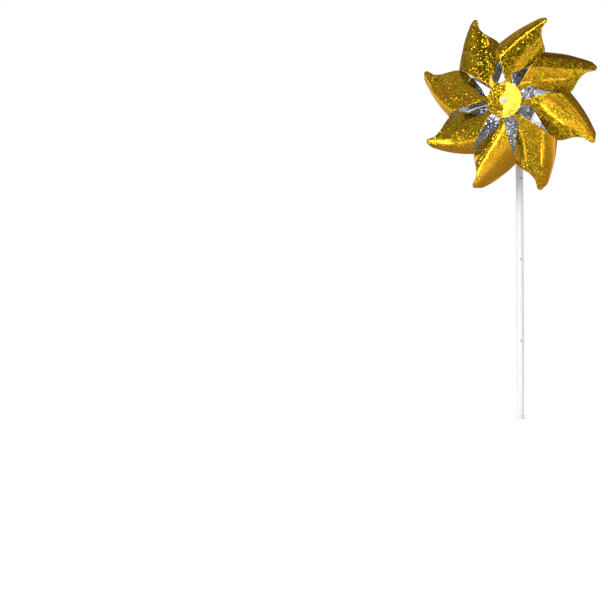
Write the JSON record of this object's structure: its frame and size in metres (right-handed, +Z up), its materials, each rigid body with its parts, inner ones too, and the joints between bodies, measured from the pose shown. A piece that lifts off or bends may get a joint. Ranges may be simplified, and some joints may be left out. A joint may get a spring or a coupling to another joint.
{
  "type": "pinwheel",
  "caption": "Foil pinwheel with curled flame-tipped gold arms, silver inside, that spin on a pin through a white plastic stick.",
  "frame": {"origin": "centre of the stick's bottom end face", "axes": "+Z up along the stick, -Y out of the front of the wheel, +X to the right seen from the front"},
  "size_m": [0.1415, 0.0598, 0.322],
  "materials": {
    "film_gold": "metallised gold holographic film, silver on its other side",
    "film_silver": "metallised silver holographic film",
    "hub_plastic": "moulded, glossy white",
    "stick_plastic": "extruded, satin gloss white",
    "cap_plastic": "moulded, off white"
  },
  "bodies": {
    "stick": {"stick_tube": "stick_plastic", "bottom_cap": "cap_plastic", "top_plug": "stick_plastic", "axle_bush": "hub_plastic", "axle_pin": "hub_plastic", "axle_cap": "hub_plastic"},
    "wheel": {"blade_1": "film_gold", "blade_2": "film_gold", "blade_3": "film_gold", "blade_4": "film_gold", "blade_5": "film_gold", "blade_6": "film_gold", "blade_7": "film_gold", "blade_8": "film_gold", "sheet_centre": "film_silver", "front_disc": "film_gold", "ear_washer": "hub_plastic", "spacer_tube": "hub_plastic", "rear_washer": "hub_plastic", "hub_sleeve": "hub_plastic"},
    "bead": {"bead": "hub_plastic"}
  },
  "joints": [
    {"name": "wheel_spin", "type": "hinge", "parent": "stick", "child": "wheel", "pos_m": [0, -0.025, 0.253], "axis": [0, -1, 0], "continuous": true},
    {"name": "bead_spin", "type": "hinge", "parent": "stick", "child": "bead", "pos_m": [0, -0.016, 0.253], "axis": [0, -1, 0], "continuous": true}
  ]
}
